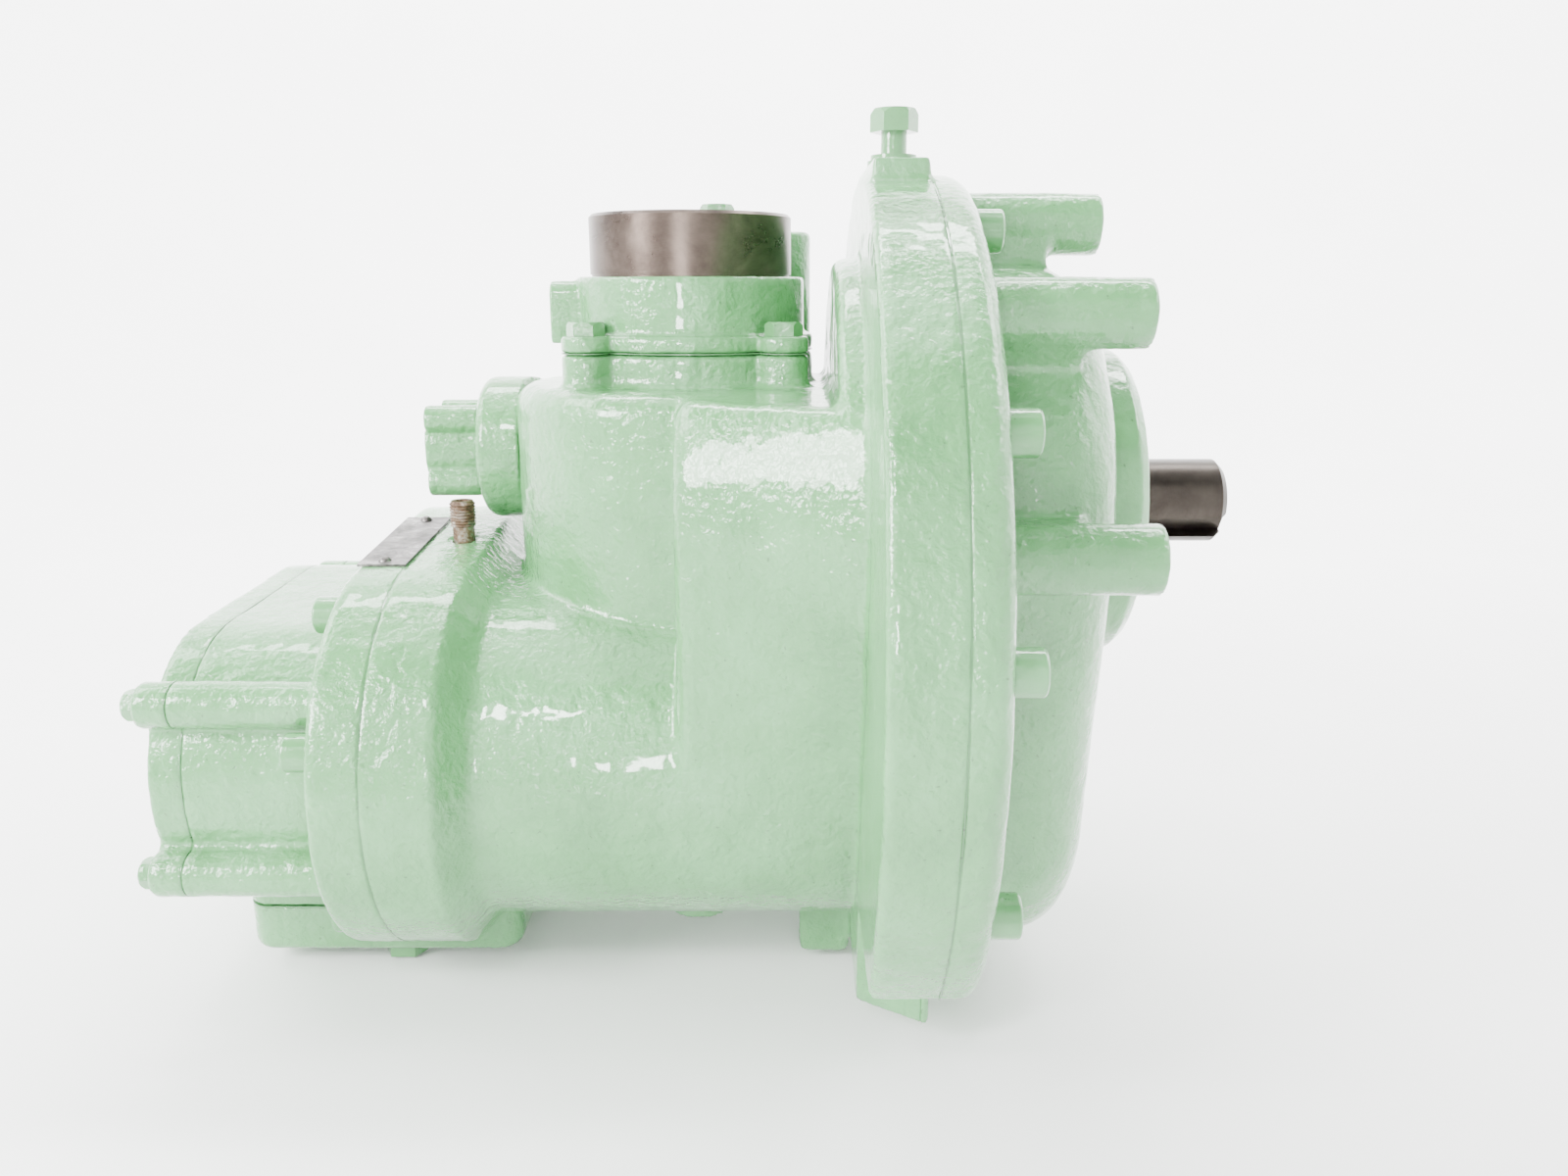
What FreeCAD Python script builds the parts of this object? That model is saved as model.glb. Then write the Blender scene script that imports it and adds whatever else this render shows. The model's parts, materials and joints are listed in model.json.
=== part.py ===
"""Bare-shaft screw air end with a built-in step-up gear case, as separate solids.

Millimetres. Origin: input shaft axis, 5 mm ahead of the stand-off boss faces.
+X runs out along the input shaft, +Z up, +Y towards the female rotor side.
"""
import FreeCAD
import Part
import math
import os

Vector = FreeCAD.Vector
X_AXIS = Vector(1, 0, 0)
Z_AXIS = Vector(0, 0, 1)

# ---- driving dimensions -------------------------------------------------
GEAR_MODULE = 3.0
BULL_TEETH = 57
PINION_TEETH = 29
ROTOR_DISTANCE = 100.0
ROTOR_TILT = math.radians(5.0)
MALE_LOBES = 4
FEMALE_LOBES = 6

MALE_Y = 0.0
MALE_Z = -GEAR_MODULE * (BULL_TEETH + PINION_TEETH) / 2
FEMALE_Y = MALE_Y + ROTOR_DISTANCE * math.cos(ROTOR_TILT)
FEMALE_Z = MALE_Z + ROTOR_DISTANCE * math.sin(ROTOR_TILT)
MALE = (MALE_Y, MALE_Z)
FEMALE = (FEMALE_Y, FEMALE_Z)
SHAFT = (0.0, 0.0)

# stations along X
SHAFT_END_X = 61.0
CAP_FACE_X = 8.5
CAP_FLANGE_X = 3.5
BOSS_FACE_X = -5.0
CAP_SEAT_X = 0.4
COVER_FACE_X = -11.0
COVER_RIM_X = -71.0
CASE_JOINT_X = -88.0
CASE_BACK_X = -116.0
TAPPED_END_X = -111.0
BODY_STEP_X = -198.0
ROTOR_DRIVE_X = -150.0
CONE_X = -291.0
MAIN_FLANGE_X = -304.5
ROTOR_JOINT_X = -335.5
FLANGE_BACK_X = -360.5
END_JOINT_X = -427.5
END_FACE_X = -444.0
GASKET = 0.6

# gear-case disc
DISC_Z = -49.0
DISC_R = 199.0
DISC_FLAT_Z = -176.0
LOBE_BELOW_R = 96.0
FOOT_Z = -225.0
FOOT_FRONT_X = -84.0
LUG_Z = 154.0
LUG_X = -100.0
SCREW_CIRCLE_R = 181.5
SCREW_ANGLES = (72.0, 33.5, 6.5, -28.0)
LOW_SCREW_YS = (-102.0, 140.0)

# castings
BODY_R = 82.5
FLANGE_R = 97.0
BEARING_BODY_R = 68.0
BEARING_BODY_FAR_R = 62.0
BELL_STEP_R = 77.0
BELL_END_R = 118.0
DRUM_R = 114.0
DRUM_X = -128.0
COVER_TOP_R = 112.0
COVER_LOW_R = 91.0
BOSS_R = 14.0
BOSS_CIRCLE_R = 129.0
BOSS_ANGLES = (0.0, 45.0, 90.0, 135.0, 180.0)

# inlet
INLET_X = -197.5
INLET_Y = 54.0
NECK_R = 91.0
SHOULDER_Z = 54.0
INLET_JOINT_Z = 70.0
ADAPTER_FLANGE_Z = 78.5
COLLAR_Z = 106.0
SPIGOT_Z = 136.0
SPIGOT_R = 51.0
SPIGOT_BORE_R = 46.0
SPIGOT_ROOT_R = 50.2
SPIGOT_ROOT_Z = 107.0
COLLAR_R = 57.5
INLET_SCREW_R = 67.0
SIDE_BOSS_X = -267.0
SIDE_BOSS = (44.0, 93.5)

# outlet
OUTLET_X = -368.0
OUTLET_Y = 45.0
OUTLET_PLATE = (-426.0, -286.0, -27.0, 117.0)
OUTLET_PLATE_CORNER_R = 12.0
RELIEF = 1.5
OUTLET_JOINT_Z = -206.0
OUTLET_Z = -233.0
OUTLET_BORE_R = 25.0
OUTLET_SCREW_R = 56.0
PIPE_SCREW_R = 42.0
DRAIN_X = -350.0
DRAIN_Y = -8.0

# oil line stub
STUB_X = -319.0
STUB_Y = 40.0
STUB_TOP_Z = -7.5

# rotors
MALE_TIP_R = 63.7
MALE_ROOT_R = 39.5
FEMALE_TIP_R = 59.7
LOBE_R = 23.7
FLUTE_R = 24.3
MALE_PITCH_R = ROTOR_DISTANCE * MALE_LOBES / (MALE_LOBES + FEMALE_LOBES)
FEMALE_PITCH_R = ROTOR_DISTANCE - MALE_PITCH_R
BORE_CLEARANCE = 0.4
MALE_WRAP = 300.0
ROTOR_END_GAP = 0.5

# shafts and bearings: bore radius, outer radius, width
FRONT_BEARING = (25.0, 45.0, 20.0)
REAR_BEARING = (22.5, 42.5, 19.0)
MALE_SUCTION = (22.5, 42.5, 19.0)
FEMALE_SUCTION = (20.0, 40.0, 18.0)
DISCHARGE_BEARING = (20.0, 40.0, 18.0)
INPUT_SHAFT_R = 20.0
KEY_WIDTH = 12.0
KEY_DEPTH = 5.0
KEY_ANGLE = -34.0
FIT = 0.04


# ---- basic shapes -------------------------------------------------------
def cyl_x(radius, x0, x1, centre=SHAFT):
    """Cylinder along X between two stations, about a (y, z) axis."""
    base = Vector(min(x0, x1), centre[0], centre[1])
    return Part.makeCylinder(radius, abs(x1 - x0), base, X_AXIS)


def cyl_z(radius, z0, z1, x, y):
    base = Vector(x, y, min(z0, z1))
    return Part.makeCylinder(radius, abs(z1 - z0), base, Z_AXIS)


def block(x0, x1, y0, y1, z0, z1):
    return Part.makeBox(x1 - x0, y1 - y0, z1 - z0, Vector(x0, y0, z0))


def ring_x(inner, outer, x0, x1, centre=SHAFT):
    return cyl_x(outer, x0, x1, centre).cut(cyl_x(inner, x0 - 1, x1 + 1, centre))


def turned_x(outline, centre=SHAFT):
    """Solid of revolution about the X line through centre; outline is (x, r) points."""
    points = [Vector(x, centre[0], centre[1] + r) for x, r in outline]
    face = Part.Face(Part.makePolygon(points + [points[0]]))
    return face.revolve(Vector(0, centre[0], centre[1]), X_AXIS, 360)


def turned_z(outline, x, y):
    """Solid of revolution about the Z line through (x, y); outline is (r, z) points."""
    points = [Vector(x + r, y, z) for r, z in outline]
    face = Part.Face(Part.makePolygon(points + [points[0]]))
    return face.revolve(Vector(x, y, 0), Z_AXIS, 360)


def fuse(shapes):
    return shapes[0].multiFuse(shapes[1:]).removeSplitter()


def polar(angle, radius, centre=SHAFT):
    """(y, z) at an angle in degrees measured from -Y towards +Z."""
    a = math.radians(angle)
    return (centre[0] - radius * math.cos(a), centre[1] + radius * math.sin(a))


def oval_wire(x, c1, r1, c2, r2):
    """Belt outline round two circles, in the plane of constant x."""
    dy = c2[0] - c1[0]
    dz = c2[1] - c1[1]
    length = math.hypot(dy, dz)
    base = math.atan2(dz, dy)
    spread = math.acos((r1 - r2) / length)

    def at(centre, radius, angle):
        y = centre[0] + radius * math.cos(angle)
        z = centre[1] + radius * math.sin(angle)
        return Vector(x, y, z)

    start1 = at(c1, r1, base + spread)
    end1 = at(c1, r1, base - spread)
    start2 = at(c2, r2, base - spread)
    end2 = at(c2, r2, base + spread)
    arc1 = Part.Arc(start1, at(c1, r1, base + math.pi), end1).toShape()
    arc2 = Part.Arc(start2, at(c2, r2, base), end2).toShape()
    line1 = Part.makeLine(end1, start2)
    line2 = Part.makeLine(end2, start1)
    return Part.Wire([arc1, line1, arc2, line2])


def oval(x0, x1, c1, r1, c2, r2):
    """Belt-shaped prism along X."""
    face = Part.Face(oval_wire(x0, c1, r1, c2, r2))
    return face.extrude(Vector(x1 - x0, 0, 0))


def oval_taper(x0, x1, ends0, ends1):
    """Belt-shaped loft between two stations; each end is (c1, r1, c2, r2)."""
    return Part.makeLoft([oval_wire(x0, *ends0), oval_wire(x1, *ends1)], True, True)


def end_edges(shape, x, tolerance=0.01):
    """Edges that lie wholly in the plane of constant x."""
    found = []
    for edge in shape.Edges:
        box = edge.BoundBox
        if abs(box.XMin - x) < tolerance and abs(box.XMax - x) < tolerance:
            found.append(edge)
    return found


def level_edges(shape, z, tolerance=0.01):
    """Edges that lie wholly in the plane of constant z."""
    found = []
    for edge in shape.Edges:
        box = edge.BoundBox
        if abs(box.ZMin - z) < tolerance and abs(box.ZMax - z) < tolerance:
            found.append(edge)
    return found


def round_end(shape, x, radius):
    return shape.makeFillet(radius, end_edges(shape, x))


def round_level(shape, z, radius):
    return shape.makeFillet(radius, level_edges(shape, z))


# ---- fasteners ----------------------------------------------------------
def cap_screw_x(x_seat, centre, size, reach, side):
    """Cylinder-head screw along X: head on the side given (+1 or -1), shank the other way."""
    head_r = 0.75 * size
    head = cyl_x(head_r, x_seat, x_seat + side * size, centre)
    head = round_end(head, x_seat + side * size, 0.12 * size)
    socket = hexagon_x(0.8 * size, x_seat + side * 0.5 * size, x_seat + side * (size + 1), centre)
    shank = cyl_x(size / 2 - 0.1, x_seat, x_seat - side * reach, centre)
    return head.cut(socket).fuse(shank).removeSplitter()


def hexagon_x(across_flats, x0, x1, centre):
    radius = across_flats / math.sqrt(3)
    points = []
    for k in range(7):
        a = math.radians(60 * k)
        points.append(Vector(x0, centre[0] + radius * math.cos(a), centre[1] + radius * math.sin(a)))
    return Part.Face(Part.makePolygon(points)).extrude(Vector(x1 - x0, 0, 0))


def hexagon_z(across_flats, z0, z1, x, y):
    radius = across_flats / math.sqrt(3)
    points = []
    for k in range(7):
        a = math.radians(60 * k)
        points.append(Vector(x + radius * math.cos(a), y + radius * math.sin(a), z0))
    return Part.Face(Part.makePolygon(points)).extrude(Vector(0, 0, z1 - z0))


def hex_screw_z(z_seat, x, y, size, across_flats, head, reach, up=1):
    """Hexagon-head screw along Z with a chamfered head."""
    prism = hexagon_z(across_flats, z_seat, z_seat + up * head, x, y)
    corner = across_flats / math.sqrt(3)
    flat = across_flats / 2
    dome = turned_z(
        [(0, z_seat), (corner, z_seat), (corner, z_seat + up * 0.75 * head),
         (flat, z_seat + up * head), (0, z_seat + up * head)], x, y)
    shank = cyl_z(size / 2 - 0.1, z_seat, z_seat - up * reach, x, y)
    return prism.common(dome).fuse(shank).removeSplitter()


def compound(solids):
    return Part.makeCompound(solids)


# ---- shared layouts -----------------------------------------------------
def disc_screws():
    """Gear cover screw centres: four a side on the circle, and two on the flat bottom."""
    centre = (0.0, DISC_Z)
    places = []
    for angle in SCREW_ANGLES:
        places.append(polar(angle, SCREW_CIRCLE_R, centre))
        places.append(polar(180 - angle, SCREW_CIRCLE_R, centre))
    for y in LOW_SCREW_YS:
        places.append((y, DISC_FLAT_Z + 14))
    return places


def dowel_places():
    centre = (0.0, DISC_Z)
    return [polar(angle, SCREW_CIRCLE_R, centre) for angle in (22.5, 137.0)]


def jack_places():
    """Tapped through holes that push the gear cover off."""
    centre = (0.0, DISC_Z)
    return [polar(angle, SCREW_CIRCLE_R, centre) for angle in (43.0, 157.5)]


def flange_screws():
    """Discharge flange screw centres round the two rotor bores."""
    places = []
    for angle in (70.0, 20.0, -60.0):
        places.append(polar(angle, 83.5, MALE))
        places.append(polar(180 - angle, 83.5, FEMALE))
    return places


def rib_places():
    """End cover screw centres, each in a rib along the bearing housing."""
    places = []
    for angle in (36.0, -28.0):
        places.append(polar(angle, BEARING_BODY_R + 9, MALE))
        places.append(polar(180 - angle, BEARING_BODY_FAR_R + 9, FEMALE))
    middle_y = (MALE_Y + FEMALE_Y) / 2
    middle_z = (MALE_Z + FEMALE_Z) / 2
    places.append((middle_y, middle_z - BEARING_BODY_R + 2))
    return places


def inlet_screws():
    """Inlet flange screw centres (x, y), at 45 degrees round the neck."""
    places = []
    for k in range(4):
        a = math.radians(45 + 90 * k)
        places.append((INLET_X + INLET_SCREW_R * math.cos(a), INLET_Y + INLET_SCREW_R * math.sin(a)))
    return places


def outlet_screws():
    places = []
    for angle in (65, 125, 218, 250):
        a = math.radians(angle)
        places.append((OUTLET_X + OUTLET_SCREW_R * math.cos(a), OUTLET_Y + OUTLET_SCREW_R * math.sin(a)))
    return places


def lobed_plate(z0, z1):
    """Round inlet flange with a lobe at each screw."""
    shapes = [cyl_z(62.0, z0, z1, INLET_X, INLET_Y)]
    for x, y in inlet_screws():
        shapes.append(cyl_z(12.0, z0, z1, x, y))
    return fuse(shapes)


def disc_plate(x0, x1):
    """Gear-case disc with its flat bottom."""
    plate = cyl_x(DISC_R, x0, x1, (0.0, DISC_Z))
    return plate.cut(block(x0 - 1, x1 + 1, -DISC_R, DISC_R, DISC_Z - DISC_R - 1, DISC_FLAT_Z))


def low_lobe(x0, x1):
    """Round flange lobe under the pinion, level with the foot."""
    return cyl_x(LOBE_BELOW_R, x0, x1, MALE)


def gear_space(x0, x1, top_r, low_r):
    return oval(x0, x1, SHAFT, top_r, MALE, low_r)


# ---- castings -----------------------------------------------------------
def outlet_plate(z0, z1, margin=0.0):
    """Square outline of the outlet joint with rounded corners, grown by a margin."""
    x0, x1, y0, y1 = OUTLET_PLATE
    plate = block(x0 - margin, x1 + margin, y0 - margin, y1 + margin, z0, z1)
    corners = [e for e in plate.Edges if e.BoundBox.ZLength > (z1 - z0) / 2]
    return plate.makeFillet(OUTLET_PLATE_CORNER_R + margin, corners)


def housing_outside():
    barrel = oval(CONE_X, CASE_BACK_X, MALE, BODY_R, FEMALE, BODY_R)
    cone = oval_taper(MAIN_FLANGE_X, CONE_X,
                      (MALE, FLANGE_R, FEMALE, FLANGE_R), (MALE, BODY_R, FEMALE, BODY_R))
    flange = oval(ROTOR_JOINT_X, MAIN_FLANGE_X, MALE, FLANGE_R, FEMALE, FLANGE_R)
    neck = round_level(cyl_z(NECK_R, MALE_Z, SHOULDER_Z, INLET_X, INLET_Y), SHOULDER_Z, 12)
    pad = lobed_plate(SHOULDER_Z - 6, INLET_JOINT_Z)
    bell = bell_outside()
    disc = round_end(disc_plate(CASE_BACK_X, CASE_JOINT_X), CASE_BACK_X, 2.5)
    lug = block(LUG_X - 13, LUG_X + 12, -48, 48, 100, LUG_Z)
    scavenge_pad = block(-142, CASE_BACK_X, -22, 26, -237, -180)
    scavenge_pad = round_level(scavenge_pad, -237, 6)
    low_boss = cyl_z(17, -219, -190, -195, 0)
    return fuse([barrel, cone, flange, neck, pad, bell, disc, lug, foot_plate(), scavenge_pad, low_boss,
                 low_lobe(CASE_BACK_X, CASE_JOINT_X), oil_block_bracket()])


def bell_outside():
    """Tapered shell from the barrel out to the gear-case disc, level with the neck shoulder."""
    bell = oval_taper(BODY_STEP_X, CASE_BACK_X,
                      (SHAFT, BELL_STEP_R, MALE, BODY_R), (SHAFT, BELL_END_R, MALE, BODY_R))
    bell = round_end(bell, BODY_STEP_X, 9)
    bell = bell.cut(block(BODY_STEP_X - 1, CASE_BACK_X + 1, -150, 150, SHOULDER_Z, 150))
    sides = [e for e in level_edges(bell, SHOULDER_Z) if e.BoundBox.XLength > 20]
    bell = bell.makeFillet(10, sides)
    drum = round_end(cyl_x(DRUM_R, DRUM_X, CASE_BACK_X), DRUM_X, 6)
    return fuse([bell, drum])


def foot_plate():
    """Tapered foot under the gear-case disc, kept clear of the gear cover flange."""
    corners = [(CASE_BACK_X, -81), (FOOT_FRONT_X, -101), (FOOT_FRONT_X, 101), (CASE_BACK_X, 81)]
    points = [Vector(x, y, FOOT_Z) for x, y in corners]
    face = Part.Face(Part.makePolygon(points + [points[0]]))
    foot = face.extrude(Vector(0, 0, DISC_FLAT_Z + 10 - FOOT_Z))
    cover_room = fuse_plain([cyl_x(LOBE_BELOW_R + 1, CASE_JOINT_X, FOOT_FRONT_X + 1, MALE),
                             block(CASE_JOINT_X, FOOT_FRONT_X + 1, -120, 120, DISC_FLAT_Z - 1, -100)])
    return foot.cut(cover_room)


def main_housing():
    body = housing_outside()
    cuts = [
        cyl_x(MALE_TIP_R + BORE_CLEARANCE, ROTOR_JOINT_X - 1, ROTOR_DRIVE_X, MALE),
        cyl_x(FEMALE_TIP_R + BORE_CLEARANCE, ROTOR_JOINT_X - 1, ROTOR_DRIVE_X, FEMALE),
        cyl_x(24.0, ROTOR_DRIVE_X - 1, -116, MALE),
        cyl_x(21.5, ROTOR_DRIVE_X - 1, -116, FEMALE),
        cyl_x(MALE_SUCTION[1], -137, -115, MALE),
        cyl_x(FEMALE_SUCTION[1], -137, -115, FEMALE),
        cyl_x(REAR_BEARING[1], -141, -115),
        cyl_x(32.5, -151.5, -140),
        gear_space(CASE_BACK_X, CASE_JOINT_X + 1, 98, 76),
        oval(CASE_BACK_X, CASE_JOINT_X + 1, MALE, 60, FEMALE, 47),
        cyl_z(SPIGOT_BORE_R, -95, INLET_JOINT_Z + 1, INLET_X, INLET_Y),
        cyl_z(7.0, LUG_Z - 26, LUG_Z + 1, LUG_X, 0),
        cyl_z(9.0, -238, -226, -129, 2),
        cyl_z(5.65, -49, -20, STUB_X, STUB_Y),
    ]
    for place in disc_screws():
        cuts.append(cyl_x(6.0, TAPPED_END_X, CASE_JOINT_X + 1, place))
    for place in dowel_places() + jack_places():
        cuts.append(cyl_x(5.0, TAPPED_END_X, CASE_JOINT_X + 1, place))
    for place in flange_screws():
        cuts.append(cyl_x(6.0, ROTOR_JOINT_X - 1, ROTOR_JOINT_X + 24, place))
    for x, y in inlet_screws():
        cuts.append(cyl_z(5.0, INLET_JOINT_Z - 22, INLET_JOINT_Z + 1, x, y))
    cuts.append(outlet_plate(-240, OUTLET_JOINT_Z + 2, RELIEF))
    for place in retainer_screw_places():
        cuts.append(cyl_x(3.0, -128, -115, place))
    return body.cut(fuse_plain(cuts))


def fuse_plain(shapes):
    return shapes[0].multiFuse(shapes[1:])


def retainer_screw_places():
    places = [polar(a, 50.0, MALE) for a in (-90, 90)]
    middle_y = (MALE_Y + FEMALE_Y) / 2
    middle_z = (MALE_Z + FEMALE_Z) / 2
    for side in (-30, 30):
        places.append((middle_y - side * math.sin(ROTOR_TILT), middle_z + side * math.cos(ROTOR_TILT)))
    return places


def gear_cover():
    rim = round_end(disc_plate(CASE_JOINT_X + GASKET, COVER_RIM_X), COVER_RIM_X, 9)
    bulge = gear_space(COVER_RIM_X - 4, COVER_FACE_X, COVER_TOP_R, COVER_LOW_R)
    bulge = round_end(bulge, COVER_FACE_X, 30)
    shapes = [rim, low_lobe(CASE_JOINT_X + GASKET, COVER_RIM_X - 2), bulge]
    for angle in BOSS_ANGLES:
        shapes.append(cyl_x(BOSS_R, COVER_RIM_X - 4, BOSS_FACE_X, polar(angle, BOSS_CIRCLE_R)))
        shapes.append(boss_web(angle))
    body = fuse(shapes)
    hollow = gear_space(CASE_JOINT_X, COVER_FACE_X - 14, 98, 76)
    hollow = round_end(hollow, COVER_FACE_X - 14, 16)
    hub = cyl_x(58.0, -37, COVER_FACE_X - 10)
    body = body.cut(hollow).fuse(hub)
    cuts = [cyl_x(FRONT_BEARING[1], -33, COVER_FACE_X + 1), cyl_x(32.0, -40, -30)]
    for place in disc_screws():
        cuts.append(cyl_x(6.6, CASE_JOINT_X - 1, COVER_RIM_X + 1, place))
    for place in dowel_places():
        cuts.append(cyl_x(5.0, CASE_JOINT_X - 1, COVER_RIM_X - 4, place))
    for angle in BOSS_ANGLES:
        cuts.append(cyl_x(6.0, BOSS_FACE_X - 30, 1, polar(angle, BOSS_CIRCLE_R)))
    for angle in range(0, 360, 60):
        cuts.append(cyl_x(4.0, -26, COVER_FACE_X + 1, polar(angle, 59)))
    return body.cut(fuse_plain(cuts)).removeSplitter()


def boss_web(angle):
    """Web that joins a stand-off boss to the bulge, as deep as the bulge is straight."""
    web = block(COVER_RIM_X - 4, -30, -BOSS_R + 1, BOSS_R - 1, 90, BOSS_CIRCLE_R)
    web.rotate(Vector(0, 0, 0), X_AXIS, 90 - angle)
    return web


def discharge_housing():
    flange = oval(FLANGE_BACK_X, ROTOR_JOINT_X - GASKET, MALE, FLANGE_R, FEMALE, FLANGE_R)
    flange = round_end(flange, FLANGE_BACK_X, 3)
    body = oval(END_JOINT_X, FLANGE_BACK_X + 2, MALE, BEARING_BODY_R, FEMALE, BEARING_BODY_FAR_R)
    shapes = [flange, body]
    for place in rib_places():
        shapes.append(cyl_x(11.0, END_JOINT_X, FLANGE_BACK_X + 2, place))
    shapes.append(cyl_z(46.0, OUTLET_JOINT_Z, -150, OUTLET_X, OUTLET_Y))
    shapes.append(outlet_plate(OUTLET_JOINT_Z, OUTLET_JOINT_Z + 16))
    shell = fuse(shapes)
    envelope = block(END_JOINT_X, ROTOR_JOINT_X - GASKET, -200, 300, -300, 100)
    shell = shell.common(envelope)
    shell = shell.cut(outlet_plate(-240, OUTLET_JOINT_Z, RELIEF))
    cuts = [
        cyl_x(DISCHARGE_BEARING[1], END_JOINT_X - 1, -349.5, MALE),
        cyl_x(DISCHARGE_BEARING[1], END_JOINT_X - 1, -349.5, FEMALE),
        cyl_x(21.5, -350, ROTOR_JOINT_X + 1, MALE),
        cyl_x(21.5, -350, ROTOR_JOINT_X + 1, FEMALE),
        block(-380, ROTOR_JOINT_X + 1, 34, 66, -192, -172),
        cyl_z(OUTLET_BORE_R, OUTLET_JOINT_Z - 1, -178, OUTLET_X, OUTLET_Y),
    ]
    for place in flange_screws():
        cuts.append(cyl_x(6.6, FLANGE_BACK_X - 1, ROTOR_JOINT_X + 1, place))
    for place in rib_places():
        cuts.append(cyl_x(4.0, END_JOINT_X - 1, END_JOINT_X + 28, place))
    for x, y in outlet_screws():
        cuts.append(cyl_z(5.0, OUTLET_JOINT_Z - 1, OUTLET_JOINT_Z + 14, x, y))
    return shell.cut(fuse_plain(cuts))


def end_cover():
    front = END_JOINT_X - GASKET
    plate = oval(END_FACE_X, front, MALE, BEARING_BODY_R, FEMALE, BEARING_BODY_FAR_R)
    shapes = [plate]
    for place in rib_places():
        shapes.append(cyl_x(11.0, END_FACE_X, front, place))
    cover = fuse(shapes)
    cuts = [cyl_x(34.0, front - 9, front + 1, MALE), cyl_x(34.0, front - 9, front + 1, FEMALE)]
    for place in rib_places():
        cuts.append(cyl_x(4.5, END_FACE_X - 1, front + 1, place))
    return cover.cut(fuse_plain(cuts))


def inlet_adapter():
    base_z = INLET_JOINT_Z + GASKET
    plate = lobed_plate(base_z, ADAPTER_FLANGE_Z)
    plate = round_level(plate, ADAPTER_FLANGE_Z, 2)
    collar = cyl_z(COLLAR_R, base_z, COLLAR_Z, INLET_X, INLET_Y)
    collar = round_level(collar, COLLAR_Z, 1.5)
    y, z = SIDE_BOSS
    side_boss = block(SIDE_BOSS_X, INLET_X - 40, y - 11, y + 11, base_z + 3, z + 10.5)
    corners = [e for e in side_boss.Edges if e.BoundBox.XLength > 10 and e.BoundBox.ZMin > z]
    body = plate.fuse(collar).fuse(side_boss.makeFillet(8, corners))
    cuts = [cyl_z(SPIGOT_BORE_R, base_z - 1, COLLAR_Z + 1, INLET_X, INLET_Y),
            cyl_z(SPIGOT_ROOT_R, COLLAR_Z - 14, COLLAR_Z + 1, INLET_X, INLET_Y),
            cyl_x(6.0, SIDE_BOSS_X - 1, SIDE_BOSS_X + 9, SIDE_BOSS)]
    for x, y in inlet_screws():
        cuts.append(cyl_z(5.5, base_z - 1, ADAPTER_FLANGE_Z + 30, x, y))
    return body.cut(fuse_plain(cuts))


def inlet_spigot():
    """Tube with a turned-down root, pressed into the collar's counterbore."""
    outline = [(SPIGOT_BORE_R, COLLAR_Z - 14), (SPIGOT_ROOT_R, COLLAR_Z - 14),
               (SPIGOT_ROOT_R, SPIGOT_ROOT_Z), (SPIGOT_R, SPIGOT_ROOT_Z),
               (SPIGOT_R, SPIGOT_Z - 1.5), (SPIGOT_R - 1.5, SPIGOT_Z), (SPIGOT_BORE_R, SPIGOT_Z)]
    return turned_z(outline, INLET_X, INLET_Y)


def input_bearing_cap():
    back = COVER_FACE_X + GASKET
    outline = [(back, 27), (back, 38), (-13, 38), (-13, 44.9), (back, 44.9), (back, 72.5),
               (CAP_FLANGE_X, 72.5), (CAP_FACE_X, 68), (CAP_FACE_X, 31), (-2, 31), (-2, 27)]
    cap = turned_x(outline)
    for angle in range(0, 360, 60):
        cap = cap.cut(cyl_x(4.5, back - 1, CAP_FACE_X + 1, polar(angle, 59)))
        cap = cap.cut(cyl_x(7.0, CAP_SEAT_X, CAP_FACE_X + 1, polar(angle, 59)))
    return cap


def outlet_flange():
    top = OUTLET_JOINT_Z - GASKET
    plate = round_level(outlet_plate(OUTLET_Z, top), OUTLET_Z, 7)
    plate = plate.cut(cyl_z(OUTLET_BORE_R, OUTLET_Z - 1, top + 1, OUTLET_X, OUTLET_Y))
    for x, y in outlet_screws():
        plate = plate.cut(cyl_z(5.5, OUTLET_Z - 1, top + 1, x, y))
        plate = plate.cut(cyl_z(9.5, OUTLET_Z - 1, OUTLET_Z + 11, x, y))
    for k in range(4):
        a = math.radians(90 * k)
        x = OUTLET_X + PIPE_SCREW_R * math.cos(a)
        y = OUTLET_Y + PIPE_SCREW_R * math.sin(a)
        plate = plate.cut(cyl_z(5.5, OUTLET_Z - 1, top - 4, x, y))
    return plate.cut(cyl_z(8.0, OUTLET_Z - 1, OUTLET_Z + 17, DRAIN_X, DRAIN_Y))


# ---- far-side fittings --------------------------------------------------
VALVE_CENTRE = (76.0, 16.0)
VALVE_BACK_X = -311.5
VALVE_END_X = -341.0
OIL_BLOCK_X = -148.0
OIL_BLOCK_Z = 131.0
OIL_ARM_X = -188.0
OIL_ARM_Z = 137.0
OIL_BLOCK_Y = 131.0
BRACKET_Z = -22.0


def valve_screws():
    return [polar(45 + 90 * k, 23.5, VALVE_CENTRE) for k in range(4)]


def valve_housing():
    shell = round_end(cyl_x(38.0, VALVE_BACK_X, -262, VALVE_CENTRE), VALVE_BACK_X, 6)
    shell = shell.cut(cyl_z(NECK_R + 0.05, -60, 60, INLET_X, INLET_Y))
    shell = shell.cut(cyl_x(14.0, VALVE_BACK_X - 1, -285, VALVE_CENTRE))
    for place in valve_screws():
        shell = shell.cut(cyl_x(3.0, VALVE_BACK_X - 1, VALVE_BACK_X + 14, place))
    return shell


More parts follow.
